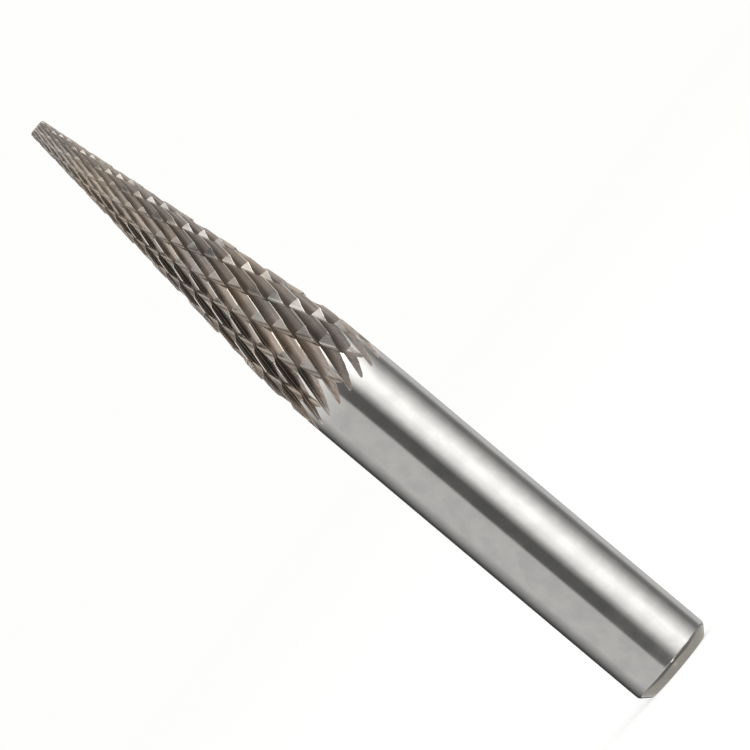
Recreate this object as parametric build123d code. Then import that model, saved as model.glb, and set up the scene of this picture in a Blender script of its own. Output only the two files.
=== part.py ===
from build123d import *
import math
import os

# A solid carbide burr: a cone-shaped cutting head and a plain shank, ground from one rod.
# It stands on the flat end of its shank, with +Z towards the nose and the axis of the
# tool on Z. Lengths are in mm, angles in degrees. The burr cuts as it turns clockwise
# seen from the shank, so every cutting face looks the way of +angle round Z.

# The turned rod.
SHANK_D = 6.0
OVERALL_LENGTH = 50.0
HEAD_LENGTH = 20.6  # from the nose to the foot of the cone
NOSE_D = 1.15
NOSE_CHAMFER = 0.1
SHANK_CHAMFER = 0.6
FOOT_INSET = 0.03  # how far the foot of the cone stays inside the shank

# Main flutes: right-hand spirals that leave saw teeth. Their sizes are those at the foot
# of the cone, and shrink with it towards the nose.
FLUTES = 18
FLUTE_HELIX = 17.2  # from the tool's axis
FLUTE_DEPTH = 0.385
FLUTE_LAND = 0.09  # strip of the cone left along each crest
FLUTE_RAKE = 4.0
FLUTE_START = -90.0

# Cross flutes: fewer, steeper, left-hand spirals that part the crests into short teeth.
CROSS_FLUTES = 9
CROSS_HELIX = 23.2
CROSS_DEPTH = 0.41
CROSS_WIDTH = 0.97  # mouth of the groove, measured round the cone
CROSS_WALL = 0.36  # part of that width over the steep wall
CROSS_START = -77.0

# A spiral leans more as the cone widens: its slope goes with this power of the radius.
HELIX_GROWTH = 0.25

NOSE_OVERRUN = 0.3  # a grinding pass starts this far before the nose
TAIL_OVERRUN = 0.6  # and ends this far past the place where it leaves the shank
PASS_POINTS = 12  # points that guide each spiral edge

SHANK_R = SHANK_D / 2
NOSE_R = NOSE_D / 2
FOOT_R = SHANK_R - FOOT_INSET
CONE_SLOPE = (FOOT_R - NOSE_R) / HEAD_LENGTH
CONE_SINE = math.sin(math.atan(CONE_SLOPE))


def cone_radius(below_nose):
    """Radius of the cone, carried on past both its ends, at a distance below the nose."""
    return NOSE_R + CONE_SLOPE * below_nose


def run_out(depth):
    """Distance below the nose at which a flute of this depth has left the shank."""
    last_radius = SHANK_R / (1 - depth / FOOT_R)
    return (last_radius - NOSE_R) / CONE_SLOPE


PASS_END = run_out(max(FLUTE_DEPTH, CROSS_DEPTH)) + TAIL_OVERRUN


def spiral_turn(radius, helix):
    """Angle that a spiral on the cone turns through between its foot and a radius."""
    reach = ((radius / FOOT_R) ** HELIX_GROWTH - 1) / HELIX_GROWTH
    return math.degrees(math.tan(math.radians(helix)) / CONE_SINE * reach)


def round_cone(arc):
    """Angle of a length measured round the foot of the cone."""
    return math.degrees(arc / FOOT_R)


def section_point(depth, angle):
    """Point of the section at the foot of the cone, at a depth below its surface."""
    return Vector(FOOT_R - depth, 0).rotate(Axis.Z, angle)


def spiral_edge(point, helix):
    """Edge that a section's point draws as the section turns and shrinks to the nose."""
    first, last = cone_radius(-NOSE_OVERRUN), cone_radius(PASS_END)
    guides = []
    for step in range(PASS_POINTS):
        radius = first * (last / first) ** (step / (PASS_POINTS - 1))
        turned = point.rotate(Axis.Z, spiral_turn(radius, helix)) * (radius / FOOT_R)
        height = OVERALL_LENGTH - (radius - NOSE_R) / CONE_SLOPE
        guides.append(turned + Vector(0, 0, height))
    return Edge.make_spline(guides)


def ground_star(tooth, count, helix):
    """Solid that one set of flutes leaves: a star section, swept along its spiral."""
    edges = []
    for index in range(count):
        edges += [spiral_edge(p.rotate(Axis.Z, 360 / count * index), helix) for p in tooth]
    neighbours = edges[1:] + edges[:1]
    sides = [Face.make_surface_from_curves(a, b) for a, b in zip(edges, neighbours)]
    ends = [Face(Wire.make_polygon([edge @ at for edge in edges])) for at in (0, 1)]
    return Solid(Shell(sides + ends))


def turned_rod():
    """Blank: a flat nose, the cone, an easy foot, the shank and the chamfer on its end."""
    outline = Polyline(
        (0, 0),
        (SHANK_R - SHANK_CHAMFER, 0),
        (SHANK_R, SHANK_CHAMFER),
        (SHANK_R, OVERALL_LENGTH - PASS_END),
        (FOOT_R, OVERALL_LENGTH - HEAD_LENGTH),
        (NOSE_R + CONE_SLOPE * NOSE_CHAMFER, OVERALL_LENGTH - NOSE_CHAMFER),
        (NOSE_R - NOSE_CHAMFER, OVERALL_LENGTH),
        (0, OVERALL_LENGTH),
        close=True,
    )
    return revolve(Plane.XZ * make_face(outline), Axis.Z)


def main_flutes():
    """Star of the main flutes, with one saw tooth to a pitch."""
    pitch = 360 / FLUTES
    land = round_cone(FLUTE_LAND)
    lean = round_cone(FLUTE_DEPTH * math.tan(math.radians(FLUTE_RAKE)))
    root = section_point(FLUTE_DEPTH, FLUTE_START - lean)
    heel = section_point(0, FLUTE_START + pitch - land)
    # The back of the tooth runs on past the cone, which trims it to its land.
    crest = heel + (heel - root) * (land / (pitch - land))
    return ground_star([root, crest], FLUTES, -FLUTE_HELIX)


def cross_flutes():
    """Star of the cross flutes: a notch with one steep wall, then clear of the rod."""
    top = section_point(0, CROSS_START)
    root = section_point(CROSS_DEPTH, CROSS_START + round_cone(CROSS_WALL))
    lip = section_point(0, CROSS_START + round_cone(CROSS_WIDTH))
    # Both walls are carried on by half their height, well outside the rod.
    tooth = [top + (top - root) * 0.5, root, lip + (lip - root) * 0.5]
    return ground_star(tooth, CROSS_FLUTES, CROSS_HELIX)


def carbide_burr():
    """Rod with both sets of flutes ground into its head, down to their run-outs."""
    pass_end = Plane.XY.offset(OVERALL_LENGTH - PASS_END)
    shank = turned_rod().split(pass_end, keep=Keep.BOTTOM)
    head = turned_rod().split(pass_end, keep=Keep.TOP) & cross_flutes() & main_flutes()
    return shank + head


os.makedirs("parts", exist_ok=True)
export_step(carbide_burr(), "parts/carbide_burr.step", write_pcurves=False)
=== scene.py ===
import math

import bmesh
import bpy
from mathutils import Matrix, Vector


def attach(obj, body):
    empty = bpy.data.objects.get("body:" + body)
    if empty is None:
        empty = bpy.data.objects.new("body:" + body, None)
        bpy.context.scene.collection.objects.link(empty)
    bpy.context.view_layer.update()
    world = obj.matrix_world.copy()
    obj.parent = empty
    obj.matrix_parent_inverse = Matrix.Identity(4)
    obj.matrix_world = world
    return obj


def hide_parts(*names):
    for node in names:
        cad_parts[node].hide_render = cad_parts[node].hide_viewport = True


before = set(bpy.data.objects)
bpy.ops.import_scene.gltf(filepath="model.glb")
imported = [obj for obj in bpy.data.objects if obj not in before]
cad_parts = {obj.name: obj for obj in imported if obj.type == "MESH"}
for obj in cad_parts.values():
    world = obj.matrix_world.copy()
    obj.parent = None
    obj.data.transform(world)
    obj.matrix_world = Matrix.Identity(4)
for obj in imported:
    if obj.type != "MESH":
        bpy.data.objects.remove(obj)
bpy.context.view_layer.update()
scene = bpy.context.scene
scene.view_settings.view_transform = "Standard"

# Everything is in metres. The burr stands on the end of its shank, nose up, on the Z axis.


# --- The turned blank -------------------------------------------------------------------
# One rod of sintered tungsten carbide, ground round on the shank and to a cone at the
# other end. Both ends are chamfered, and the chamfers' edges are ground to small rounds.

MM = 0.001
SHANK_R = 3.0 * MM
SHANK_CHAMFER = 0.6 * MM
LENGTH = 50.0 * MM
HEAD_LENGTH = 20.6 * MM
FOOT_R = 2.97 * MM  # radius of the cone at its foot
NOSE_R = 0.575 * MM
NOSE_CHAMFER = 0.1 * MM
EASED_FROM = 24.41 * MM  # height at which the shank starts to narrow towards the cone
CHAMFER_ROUNDS = (0.2 * MM, 0.4 * MM)  # at the shank's end and on its side
NOSE_ROUND = 0.05 * MM
BLANK_SIDES = 192
CONE_SLOPE = (FOOT_R - NOSE_R) / HEAD_LENGTH


def rounded(corners, radii, steps=4):
    """Points along an outline, with each corner between its ends rounded to its radius."""
    points = []
    for before, corner, after, radius in zip(corners, corners[1:], corners[2:], radii):
        if not radius:
            points.append(corner)
            continue
        way_in, way_out = (corner - before).normalized(), (after - corner).normalized()
        reach = radius * math.tan(way_in.angle(way_out) / 2)
        start, end = corner - way_in * reach, corner + way_out * reach
        for t in (step / steps for step in range(steps + 1)):
            points.append(start * (1 - t) ** 2 + corner * 2 * t * (1 - t) + end * t**2)
    return points


def turned_blank():
    corners = [Vector(p) for p in (
        (0, 0, 0), (SHANK_R - SHANK_CHAMFER, 0, 0), (SHANK_R, 0, SHANK_CHAMFER),
        (SHANK_R, 0, EASED_FROM), (FOOT_R, 0, LENGTH - HEAD_LENGTH),
        (NOSE_R - CONE_SLOPE * NOSE_CHAMFER, 0, LENGTH - NOSE_CHAMFER),
        (NOSE_R - NOSE_CHAMFER, 0, LENGTH), (0, 0, LENGTH))]
    radii = [*CHAMFER_ROUNDS, 0, 0, NOSE_ROUND, NOSE_ROUND]
    outline = [corners[0], *rounded(corners, radii), corners[-1]]
    mesh = bmesh.new()
    points = [mesh.verts.new(p) for p in outline]
    edges = [mesh.edges.new(pair) for pair in zip(points, points[1:])]
    bmesh.ops.spin(mesh, geom=points + edges, cent=(0, 0, 0), axis=(0, 0, 1),
                   angle=2 * math.pi, steps=BLANK_SIDES)
    bmesh.ops.remove_doubles(mesh, verts=mesh.verts, dist=1e-7)
    bmesh.ops.recalc_face_normals(mesh, faces=mesh.faces)
    blank = bpy.data.meshes.new("blank")
    mesh.to_mesh(blank)
    mesh.free()
    return blank


blank = bpy.data.objects.new("blank", turned_blank())
scene.collection.objects.link(blank)


# --- The ground flutes ------------------------------------------------------------------
# The teeth are ground into the cone with diamond wheels. A right-hand set of hollow saw
# flutes leaves the cutting edges, and a left-hand set of fewer, steeper grooves crosses
# them and parts each edge into short teeth. Both sets fade out on the shank.

FLUTES = 18
FLUTE_HELIX = 17.2  # in degrees at the cone's foot, as the other angles here are
FLUTE_DEPTH = 0.41 * MM
FLUTE_LAND = 0.05 * MM  # width of the crest
FLUTE_WEAR = 0.02 * MM  # how far the cutting edge is rubbed down below the heel
FLUTE_RAKE = 4.0
FLUTE_START = -88.0  # bearing of one cutting edge at the cone's foot
FLUTE_FLOOR = 0.16 * MM  # from a flute's root to where its floor turns up the back
FLUTE_ROUNDS = (0.06 * MM, 0.35 * MM, 0.03 * MM, 0.03 * MM)  # root, floor, heel, crest

CROSS_FLUTES = 9
CROSS_HELIX = 23.2
CROSS_DEPTH = 0.45 * MM
CROSS_WIDTH = 1.1 * MM
CROSS_WALL = 0.29 * MM  # width of the steep wall
CROSS_START = -79.6
CROSS_ROUND = 0.3 * MM

FLUTE_TWIST = -math.tan(math.radians(FLUTE_HELIX))
CROSS_TWIST = math.tan(math.radians(CROSS_HELIX))
HELIX_GROWTH = 0.25  # the power of the radius that a helix's tangent grows with
PASS_START = -0.3 * MM  # of a pass of the wheel, down from the nose
PASS_END = 25.59 * MM
FLUTE_RUN_OUT = 3.9 * MM  # past the cone's foot, over which the wheel lifts out of the rod
CROSS_RUN_OUT = 3.3 * MM
RUN_OUT_LIFT = 0.51 * MM
RUN_OUT_CURVE = 2.2  # the power that the lift grows with
RINGS = 90  # cross-sections of a star over a pass
TAIL = 1.0 * MM  # how far a star reaches past the end of the shank
MAIN_PASS, CROSS_PASS = 1.0, 3.0  # marks on the faces that each set leaves: the blank has 0
WELD = 0.0002 * MM  # doubles nearer than this are merged
SHARP_FOLD = 24.0  # an edge that folds by more stays sharp


class Wire:
    """A socket of a node tree. Python's arithmetic on it adds the Math nodes."""

    def __init__(self, socket):
        self.socket, self.tree = socket, socket.id_data

    @staticmethod
    def node(tree, kind, settings=None, sockets=None, out=0):
        """A new node's output. Its settings are set before its sockets, and a list of
        wires goes to a socket that takes several."""
        made = tree.nodes.new(kind)
        for name, value in (settings or {}).items():
            setattr(made, name, value)
        for name, value in (sockets or {}).items():
            for part in value if isinstance(value, list) else [value]:
                if isinstance(part, Wire):
                    tree.links.new(part.socket, made.inputs[name])
                else:
                    made.inputs[name].default_value = part
        return Wire(made.outputs[out])

    def maths(self, operation, *others):
        return self.node(self.tree, "ShaderNodeMath", {"operation": operation},
                         dict(enumerate((self,) + others)))

    def __add__(self, other):
        return self.maths("ADD", other)

    def __sub__(self, other):
        return self.maths("SUBTRACT", other)

    def __mul__(self, other):
        return self.maths("MULTIPLY", other)

    def __truediv__(self, other):
        return self.maths("DIVIDE", other)

    def __pow__(self, other):
        return self.maths("POWER", other)

    def __mod__(self, other):
        return self.maths("FLOORED_MODULO", other)

    def __gt__(self, other):
        return self.maths("GREATER_THAN", other)

    def __rsub__(self, other):
        return (self * -1) + other

    def __rtruediv__(self, other):
        return self**-1 * other

    __radd__, __rmul__ = __add__, __mul__

    def between(self, low, high):
        """0 below low, 1 above high and an eased way between."""
        return self.node(self.tree, "ShaderNodeMapRange",
                         {"interpolation_type": "SMOOTHSTEP"},
                         {"Value": self, "From Min": low, "From Max": high})

    def axes(self):
        """The three parts of a vector."""
        return [self.node(self.tree, "ShaderNodeSeparateXYZ", {}, {0: self}, out=n)
                for n in range(3)]


CONE_SINE = math.sin(math.atan(CONE_SLOPE))


def spiral_turn(radius):
    """The angle, in radians, that a spiral whose twist is 1 has turned by on its way from
    the cone's foot. The twist is the tangent of its helix."""
    reach = ((radius / FOOT_R) ** HELIX_GROWTH - 1) * (1 / HELIX_GROWTH)
    return reach * (1 / CONE_SINE)


def section_point(depth, angle):
    """A point of the cone's foot, in its cross-section."""
    return Matrix.Rotation(angle, 3, "Z") @ Vector((FOOT_R - depth, 0, 0))


def flute_outline():
    """One saw tooth's outline in the cone's foot: from the root along the hollow floor,
    up the back to the heel and over the crest, which is a little worn."""
    pitch = 2 * math.pi / FLUTES
    start = math.radians(FLUTE_START)
    lean = FLUTE_DEPTH * math.tan(math.radians(FLUTE_RAKE)) / FOOT_R

    def tooth(turn):
        at = start + turn
        root = section_point(FLUTE_DEPTH, at - lean)
        floor_end = section_point(FLUTE_DEPTH, at + FLUTE_FLOOR / FOOT_R)
        heel = section_point(0, at + pitch - FLUTE_LAND / FOOT_R)
        return [root, floor_end, heel, section_point(FLUTE_WEAR, at + pitch)]

    crest_before, root_after = tooth(-pitch)[-1], tooth(pitch)[0]
    return rounded([crest_before, *tooth(0), root_after], FLUTE_ROUNDS, steps=5)


def cross_outline():
    """One cross groove's outline: down its steep wall and up its gentle one."""
    start = math.radians(CROSS_START)
    top = section_point(0, start)
    root = section_point(CROSS_DEPTH, start + CROSS_WALL / FOOT_R)
    lip = section_point(0, start + CROSS_WIDTH / FOOT_R)
    high, low = top + (top - root) * 0.5, lip + (lip - root) * 0.5
    return [high, *rounded([high, root, low], [CROSS_ROUND], steps=6), low]


def grinding_tree():
    """What is left inside a set of ground flutes: a closed star whose section is one
    flute's outline repeated round the axis, scaled with the cone and turned along it."""
    tree = bpy.data.node_groups.new("Ground flutes", "GeometryNodeTree")
    sockets = tree.interface
    for name, kind in (("Outline", "Object"), ("Flutes", "Int"), ("Twist", "Float"),
                       ("Rings", "Int"), ("Run-out", "Float"), ("Pass", "Float")):
        sockets.new_socket(name, in_out="INPUT", socket_type="NodeSocket" + kind)
    sockets.new_socket("Star", in_out="OUTPUT", socket_type="NodeSocketGeometry")
    given = tree.nodes.new("NodeGroupInput")
    size = {s.name: Wire(s) for s in given.outputs if s.name}

    def node(kind, settings=None, sockets=None, out=0):
        return Wire.node(tree, kind, settings, sockets, out)

    outline = node("GeometryNodeObjectInfo", {}, {"Object": size["Outline"]}, out=4)
    count = node("GeometryNodeAttributeDomainSize", {"component": "MESH"},
                 {"Geometry": outline})
    around = size["Flutes"] * count
    tube = node("GeometryNodeMeshCylinder", {"fill_type": "NGON"},
                {"Vertices": around, "Side Segments": size["Rings"] + 1, "Radius": 1.0,
                 "Depth": 1.0})
    x, y, z = node("GeometryNodeInputPosition").axes()
    place = (y.maths("ARCTAN2", x) * around / (2 * math.pi)).maths("ROUND") % around
    step = place % count
    tooth = (place - step) / count
    along = (0.5 - z) * (1 + 1 / size["Rings"])  # 1 at the pass's end, and more on the tail
    tail = along > 1.001
    point = node("GeometryNodeSampleIndex", {"data_type": "FLOAT_VECTOR"},
                 {"Geometry": outline, "Value": node("GeometryNodeInputPosition"),
                  "Index": step})

    first, last = (NOSE_R + CONE_SLOPE * reach for reach in (PASS_START, PASS_END))
    radius = (along.maths("MINIMUM", 1.0) * math.log(last / first)).maths("EXPONENT") * first
    turn = spiral_turn(radius) * size["Twist"] + tooth / size["Flutes"] * (2 * math.pi)
    ring = node("ShaderNodeVectorRotate", {"rotation_type": "Z_AXIS"},
                {"Vector": point, "Angle": turn})
    past_foot = (radius - FOOT_R).maths("MAXIMUM", 0.0) / (size["Run-out"] * CONE_SLOPE)
    reach = radius.maths("MINIMUM", FOOT_R) + past_foot**RUN_OUT_CURVE * RUN_OUT_LIFT
    flat_x, flat_y, _ = node("ShaderNodeVectorMath", {"operation": "SCALE"},
                             {0: ring, "Scale": reach / FOOT_R}).axes()
    height = (LENGTH - (radius - NOSE_R) / CONE_SLOPE) * (1 - tail) - tail * TAIL
    placed = node("ShaderNodeCombineXYZ", {}, {0: flat_x, 1: flat_y, 2: height})
    star = node("GeometryNodeSetPosition", {}, {"Geometry": tube, "Position": placed})
    star = node("GeometryNodeStoreNamedAttribute", {"data_type": "FLOAT", "domain": "FACE"},
                {"Geometry": star, "Name": "pass", "Value": size["Pass"]})
    tree.links.new(star.socket, tree.nodes.new("NodeGroupOutput").inputs[0])
    return tree


def burr_tree(material):
    """Crosses the blank with both stars, and keeps every ground edge sharp."""
    tree = bpy.data.node_groups.new("Ground burr", "GeometryNodeTree")
    sockets = tree.interface
    sockets.new_socket("Blank", in_out="INPUT", socket_type="NodeSocketGeometry")
    ground = grinding_tree()
    inputs = [item for item in ground.interface.items_tree if item.in_out == "INPUT"]
    for title in ("Main", "Cross"):
        for item in inputs:
            sockets.new_socket(f"{title} {item.name.lower()}", in_out="INPUT",
                               socket_type=item.socket_type)
    sockets.new_socket("Burr", in_out="OUTPUT", socket_type="NodeSocketGeometry")
    given = {s.name: Wire(s) for s in tree.nodes.new("NodeGroupInput").outputs if s.name}
    stars = []
    for title in ("Main", "Cross"):
        sizes = {item.name: given[f"{title} {item.name.lower()}"] for item in inputs}
        stars.append(Wire.node(tree, "GeometryNodeGroup", {"node_tree": ground}, sizes))
    burr = Wire.node(tree, "GeometryNodeMeshBoolean",
                     {"operation": "INTERSECT", "solver": "MANIFOLD"},
                     {1: [given["Blank"], *stars]})
    burr = Wire.node(tree, "GeometryNodeMergeByDistance", {},
                     {"Geometry": burr, "Distance": WELD})
    fold = Wire.node(tree, "GeometryNodeInputMeshEdgeAngle") > math.radians(SHARP_FOLD)
    # On an edge this is the mean of its faces' marks, so it is none of the three marks on
    # a border between two passes, or between a pass and the blank.
    passes = Wire.node(tree, "GeometryNodeInputNamedAttribute", {"data_type": "FLOAT"},
                       {"Name": "pass"})
    border = (passes * (passes - MAIN_PASS) * (passes - CROSS_PASS)).maths("ABSOLUTE")
    corner = (fold + border) > 0.1
    burr = Wire.node(tree, "GeometryNodeSetShadeSmooth", {"domain": "FACE"},
                     {"Geometry": burr, "Shade Smooth": True})
    burr = Wire.node(tree, "GeometryNodeSetShadeSmooth", {"domain": "EDGE"},
                     {"Geometry": burr, "Selection": corner, "Shade Smooth": False})
    burr = Wire.node(tree, "GeometryNodeRealizeInstances", {}, {"Geometry": burr})
    burr = Wire.node(tree, "GeometryNodeSetMaterial", {},
                     {"Geometry": burr, "Material": material})
    tree.links.new(burr.socket, tree.nodes.new("NodeGroupOutput").inputs[0])
    return tree


# --- The finish of the carbide ----------------------------------------------------------
# Bare ground carbide: a dense grey metal with a warm cast. The shank is ground between
# wheels and nearly mirror bright, and the flutes keep the fine lines of the diamond wheel.

CARBIDE = (0.47, 0.463, 0.448)
CARBIDE_CUT = (0.54, 0.503, 0.47)  # on the flutes' walls
CARBIDE_CROSS = (0.46, 0.43, 0.39)  # on the cross grooves' walls
CARBIDE_PAINTED_SHADE_AND_STREAKS = (0.17, 0.145, 0.125)  # painted shade in the flutes' roots, and the dark streaks of the wheel
CARBIDE_GLINT_AND_WEAR = (0.95, 0.93, 0.87)  # painted highlight on the crests, for the glint of their rounded edges; also the nose's wear and painted sheen
NOSE_RUB_AND_SHEEN = 12.0 * MM  # length of the nose that is painted a little bright all over, partly for wear and partly as painted sheen
ROOT_SHADE_FROM, ROOT_SHADE_TO = 0.055, 0.125  # depths, as shares of the radius, over which painted shade darkens the roots
CREST_FROM, CREST_TO = 0.007, 0.011  # and where the painted highlight on the crests ends
EDGE_FROM, EDGE_TO = 0.95, 0.97  # share of a flute's width where its cutting edge starts


def ground_carbide():
    material = bpy.data.materials.new("ground_carbide")
    material.use_nodes = True
    tree = material.node_tree
    shader = tree.nodes["Principled BSDF"]

    def node(kind, settings=None, sockets=None, out=0):
        return Wire.node(tree, kind, settings, sockets, out)

    def noise(vector, scale, detail):
        return node("ShaderNodeTexNoise", {}, {"Vector": vector, "Scale": scale,
                                               "Detail": detail})

    def mix(share, under, over, blend="MIX"):
        colours = {0: share}
        for socket, colour in ((6, under), (7, over)):
            colours[socket] = colour if isinstance(colour, Wire) else (*colour, 1)
        return node("ShaderNodeMix", {"data_type": "RGBA", "blend_type": blend}, colours,
                    out=2)

    place = node("ShaderNodeTexCoord", out=3)
    x, y, z = place.axes()
    ground = node("ShaderNodeAttribute", {"attribute_name": "pass"}, out=2)
    cut, cross = ground.between(0.2, 0.6), ground.between(1.2, 1.6)  # any pass, the second
    cone = ((LENGTH - z) * CONE_SLOPE + NOSE_R).maths("MINIMUM", SHANK_R)
    depth = 1 - (x * x + y * y) ** 0.5 / cone
    # Painted shade: the flutes' roots are darkened with depth, where real shade falls in the
    # gullets.
    painted_root_shade = depth.between(ROOT_SHADE_FROM, ROOT_SHADE_TO) * cut * (1 - cross)

    turn = spiral_turn(cone) * (cross * (CROSS_TWIST - FLUTE_TWIST) + FLUTE_TWIST)
    level = node("ShaderNodeVectorRotate", {"rotation_type": "Z_AXIS"},
                 {"Vector": place, "Angle": turn * -1})
    level_x, level_y, _ = level.axes()
    main_level = node("ShaderNodeVectorRotate", {"rotation_type": "Z_AXIS"},
                      {"Vector": place, "Angle": spiral_turn(cone) * -FLUTE_TWIST})
    main_x, main_y, _ = main_level.axes()
    past_crest = (main_y.maths("ARCTAN2", main_x) - math.radians(FLUTE_START)
                  ) * (FLUTES / (2 * math.pi)) % 1.0
    crest = 1 - depth.between(CREST_FROM, CREST_TO)
    crest = (crest + cross * past_crest.between(EDGE_FROM, EDGE_TO)).maths("MINIMUM", 1.0)
    # Painted highlight: the crests over the head are coloured near white, for the glint of
    # their rounded edges.
    glint_on_crests = crest * z.between(EASED_FROM, LENGTH - HEAD_LENGTH)
    along_flute = node("ShaderNodeCombineXYZ", {},
                       {0: level_x / cone, 1: level_y / cone, 2: z * 12})
    round_shank = node("ShaderNodeCombineXYZ", {}, {0: x * 60, 1: y * 60, 2: z * 1000})
    wheel_lines = noise(along_flute, 24.0, 6.0)
    polish_lines = noise(round_shank, 9.0, 4.0)
    cloud = noise(place, 900.0, 4.0)
    tarnish = noise(place, 350.0, 2.0)

    shade = mix(cut, CARBIDE, CARBIDE_CUT)
    shade = mix(cross, shade, CARBIDE_CROSS)
    # Painted shade in the roots.
    shade = mix(painted_root_shade, shade, CARBIDE_PAINTED_SHADE_AND_STREAKS)
    shade = mix(wheel_lines.between(0.4, 0.6) * (cut - cross * 0.7) * 0.35, shade,
                CARBIDE_PAINTED_SHADE_AND_STREAKS)
    # The painted crest highlight, and the nose painted a little bright, partly for wear and
    # partly as painted sheen.
    glint_and_rub = (glint_on_crests + z.between(LENGTH - NOSE_RUB_AND_SHEEN, LENGTH) * cut * 0.3).maths("MINIMUM", 1.0)
    shade = mix(glint_and_rub, shade, CARBIDE_GLINT_AND_WEAR)
    cool, warm = (0.94, 0.95, 0.97), (1.03, 0.98, 0.93)
    shade = mix(cut, shade, mix(1.0, shade, mix(tarnish.between(0.4, 0.6), cool, warm),
                                "MULTIPLY"))
    dull, bright = (0.93, 0.935, 0.945), (1.04, 1.035, 1.03)
    shade = mix(1.0, shade, mix(cloud.between(0.35, 0.65), dull, bright), "MULTIPLY")
    tree.links.new(shade.socket, shader.inputs["Base Color"])
    rough = (0.09 + cloud * 0.07 + cut * (wheel_lines * 0.2 + 0.02)) * (1 - glint_on_crests * 0.4)
    tree.links.new(rough.socket, shader.inputs["Roughness"])
    scratches = wheel_lines * (cut - cross * 0.6) * (1 - glint_on_crests * 0.8) * 8.0
    relief = scratches + polish_lines * (1 - cut) * 0.08 + cloud * 1.2
    bump = node("ShaderNodeBump", {}, {"Height": relief, "Distance": 0.002 * MM,
                                       "Strength": 1.0})
    tree.links.new(bump.socket, shader.inputs["Normal"])
    shader.inputs["Metallic"].default_value = 1.0
    return material


def outline_object(name, points):
    drawn = bpy.data.meshes.new(name)
    drawn.from_pydata(points, [], [])
    return bpy.data.objects.new(name, drawn)


tree = burr_tree(ground_carbide())
grinding = blank.modifiers.new("Ground flutes", "NODES")
grinding.node_group = tree
sizes = {"Main outline": outline_object("flute outline", flute_outline()),
         "Main flutes": FLUTES, "Main twist": FLUTE_TWIST, "Main rings": RINGS,
         "Main run-out": FLUTE_RUN_OUT, "Main pass": MAIN_PASS,
         "Cross outline": outline_object("cross outline", cross_outline()),
         "Cross flutes": CROSS_FLUTES, "Cross twist": CROSS_TWIST, "Cross rings": RINGS,
         "Cross run-out": CROSS_RUN_OUT, "Cross pass": CROSS_PASS}
for item in tree.interface.items_tree:
    if item.name in sizes:
        grinding[item.identifier] = sizes[item.name]
evaluated = blank.evaluated_get(bpy.context.evaluated_depsgraph_get())
burr_mesh = bpy.data.meshes.new_from_object(evaluated)
bpy.data.objects.remove(blank)
for name in ("Main outline", "Cross outline"):
    bpy.data.objects.remove(sizes[name])
burr_mesh.name = "burr"
burr = bpy.data.objects.new("burr", burr_mesh)
scene.collection.objects.link(burr)
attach(burr, "root")
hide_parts("carbide_burr")


# --- The floor --------------------------------------------------------------------------
# A wide sheet of white paper. The burr stands on it on the flat end of its shank. The
# metal mirrors the studio's cards in place of it, as if it hung free.

FLOOR_HALF = 3.0
PAPER = (0.99, 0.99, 0.98, 1)
FLOOR_GLOW = 0.7  # share of the sheet's white that is its own glow, as the lens sees it


def paper_floor():
    mesh = bpy.data.meshes.new("floor")
    corners = [(-FLOOR_HALF, -FLOOR_HALF, 0), (FLOOR_HALF, -FLOOR_HALF, 0),
               (FLOOR_HALF, FLOOR_HALF, 0), (-FLOOR_HALF, FLOOR_HALF, 0)]
    mesh.from_pydata(corners, [], [(0, 1, 2, 3)])
    paper = bpy.data.materials.new("floor")
    paper.use_nodes = True
    tree = paper.node_tree
    shader = tree.nodes["Principled BSDF"]
    shader.inputs["Base Color"].default_value = PAPER
    shader.inputs["Roughness"].default_value = 1.0
    shader.inputs["Specular IOR Level"].default_value = 0.0
    seen = Wire.node(tree, "ShaderNodeLightPath", out=0)
    glow = Wire.node(tree, "ShaderNodeEmission", {}, {"Color": PAPER, "Strength": 1.0})
    sheet = Wire.node(tree, "ShaderNodeMixShader", {}, {
        0: seen * FLOOR_GLOW, 1: Wire(shader.outputs[0]), 2: glow})
    tree.links.new(sheet.socket, tree.nodes["Material Output"].inputs["Surface"])
    mesh.materials.append(paper)
    return bpy.data.objects.new("floor", mesh)


floor = paper_floor()
scene.collection.objects.link(floor)
floor.visible_glossy = False


# --- The studio -------------------------------------------------------------------------
# White walls all round. Curved cards hung round the burr, out of the camera's sight, give
# the bare metal something to mirror: a soft box, dark flags and a grey sky and ground.

walls = bpy.data.worlds.new("studio")
scene.world = walls
walls.use_nodes = True
walls.node_tree.nodes["Background"].inputs["Color"].default_value = PAPER

CARD_R = 0.5
MIDDLE = LENGTH / 2  # the height that elevations are counted from


def round_card(name, stops, distance=CARD_R, tint=(1, 1, 1)):
    """A card that curves round the burr. Each stop gives a bearing from the front towards
    +X, the elevations of the card's two edges there, in degrees, and its glow."""
    points, faces, colours = [], [], []
    for bearing, lowest, highest, glow in stops:
        turn = math.radians(bearing)
        for elevation in (lowest, highest):
            points.append((distance * math.sin(turn), -distance * math.cos(turn),
                           MIDDLE + distance * math.tan(math.radians(elevation))))
            colours += [*(glow * part for part in tint), 1]
    for n in range(0, 2 * len(stops) - 2, 2):
        faces.append((n, n + 2, n + 3, n + 1))
    mesh = bpy.data.meshes.new(name)
    mesh.from_pydata(points, [], faces)
    mesh.attributes.new("glow", "FLOAT_COLOR", "POINT").data.foreach_set("color", colours)
    lit = bpy.data.materials.new(name)
    lit.use_nodes = True
    shader = lit.node_tree.nodes["Principled BSDF"]
    shader.inputs["Base Color"].default_value = (0, 0, 0, 1)
    shader.inputs["Specular IOR Level"].default_value = 0.0
    shader.inputs["Emission Strength"].default_value = 1.0
    colour = Wire.node(lit.node_tree, "ShaderNodeAttribute", {"attribute_name": "glow"})
    lit.node_tree.links.new(colour.socket, shader.inputs["Emission Color"])
    mesh.materials.append(lit)
    card = bpy.data.objects.new(name, mesh)
    scene.collection.objects.link(card)
    card.visible_camera = card.visible_diffuse = card.visible_shadow = False


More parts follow.
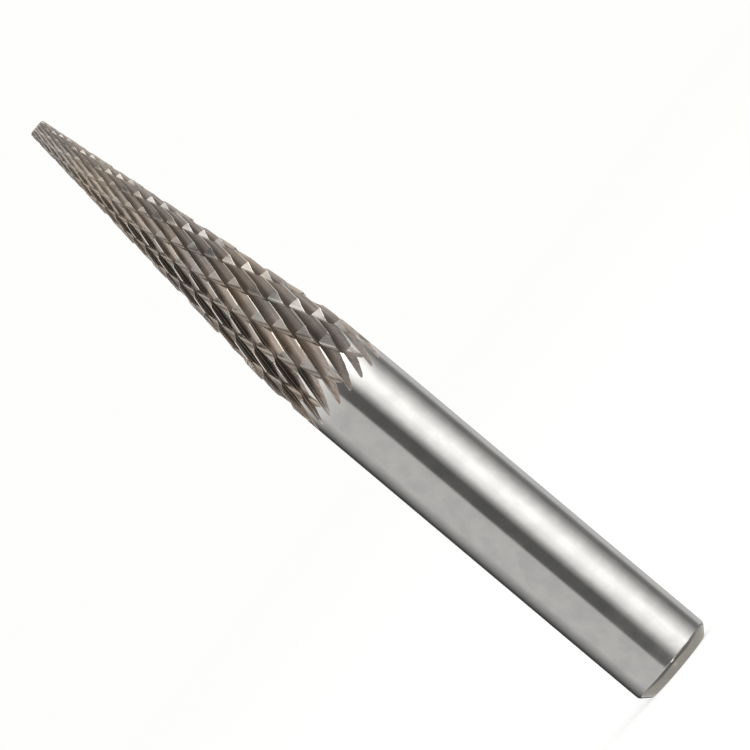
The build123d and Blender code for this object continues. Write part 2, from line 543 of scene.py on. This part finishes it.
def band(lowest, highest, *glows):
    """The stops of a card whose two edges are level."""
    return [(bearing, lowest, highest, glow) for bearing, glow in glows]


# What the shank mirrors: the dark round the lens, a soft box and the back of the room.
round_card("front_card", band(-12, 4, (-95, 0.91), (-23, 0.88), (-19, 0.18), (6, 0.17),
                              (15, 0.6), (27, 1.5), (45, 2.15), (58, 2.15), (75, 1.5),
                              (95, 0.72), (113, 0.28), (125, 0.35), (136, 0.85),
                              (150, 0.8), (165, 0.6), (180, 0.3)))
round_card("back_card", band(-20, 4, (-180, 0.045), (-150, 0.08), (-135, 0.25),
                             (-115, 0.57), (-95, 0.92)))
# What the teeth mirror: a slanted strip light low in front, a sky and a dark ground.
STRIP_R = 0.48  # in front of the other cards
round_card("strip_light", [(-14, -34, -26, 0.6), (-4, -34, -22, 2.4), (15, -28, -17, 2.8),
                           (35, -23, -13, 2.6), (58, -19, -12, 2.2), (75, -15, -12, 0.8)],
           distance=STRIP_R)
round_card("low_card", band(-20, -12, (-23, 0.8), (-10, 0.5), (5, 0.6), (60, 0.9),
                            (85, 0.4), (135, 0.25), (160, 0.5), (180, 0.3)))
SKY = (1, 0.93, 0.87)
round_card("low_sky", band(4, 22, (-180, 0.6), (-130, 0.75), (-102, 0.95), (-62, 0.95),
                           (-21, 0.65), (-5, 0.35), (18, 0.2), (37, 0.32), (58, 0.45),
                           (80, 0.5), (93, 0.55), (108, 0.8), (122, 1.0), (145, 0.7),
                           (180, 0.5)), tint=SKY)
round_card("high_sky", band(22, 65, (-180, 0.5), (-114, 0.7), (-66, 0.64), (-43, 0.5),
                            (-26, 0.35), (-5, 0.35), (17, 0.42), (37, 0.52), (58, 0.6),
                            (85, 0.78), (110, 0.8), (180, 0.5)), tint=SKY)
GROUND = (1, 0.94, 0.88)
round_card("ground_card", band(-70, -20, (-180, 0.6), (-115, 0.6), (-90, 0.35), (0, 0.2),
                               (60, 0.3), (90, 0.35), (115, 0.6), (180, 0.6)), tint=GROUND)
UNDER_STOPS = [(bearing, 0.6) for bearing in range(-180, 181, 30)]
round_card("under_card", band(-88, -70, *UNDER_STOPS), tint=GROUND)

# The key lamp, a soft box above and to the right.
KEY_PLACE = Vector((0.3, -0.25, 0.6))
KEY_AIM = Vector((0, 0, 0.02))
key = bpy.data.lights.new("key", "AREA")
key.size = 0.5
key.energy = 2.0
lamp = bpy.data.objects.new("key", key)
scene.collection.objects.link(lamp)
lamp.location = KEY_PLACE
lamp.rotation_euler = (KEY_AIM - KEY_PLACE).to_track_quat("-Z", "Y").to_euler()


# --- The camera -------------------------------------------------------------------------
# A long lens level with the middle of the tool, and rolled so that the tool lies across
# the picture with its nose at the upper left.

CAMERA_PLACE = Vector((0.00168, -0.400, 0.02504))
PICTURE_RIGHT, PICTURE_UP = Vector((0.6432, 0, -0.7657)), Vector((0.7657, 0, 0.6432))
lens = bpy.data.cameras.new("camera")
lens.lens, lens.sensor_width = 322, 36
lens.clip_start = 0.01
camera = bpy.data.objects.new("camera", lens)
scene.collection.objects.link(camera)
axes = (PICTURE_RIGHT, PICTURE_UP, PICTURE_RIGHT.cross(PICTURE_UP))
turned = Matrix(axes).transposed().to_4x4()
turned.translation = CAMERA_PLACE
camera.matrix_world = turned
scene.camera = camera
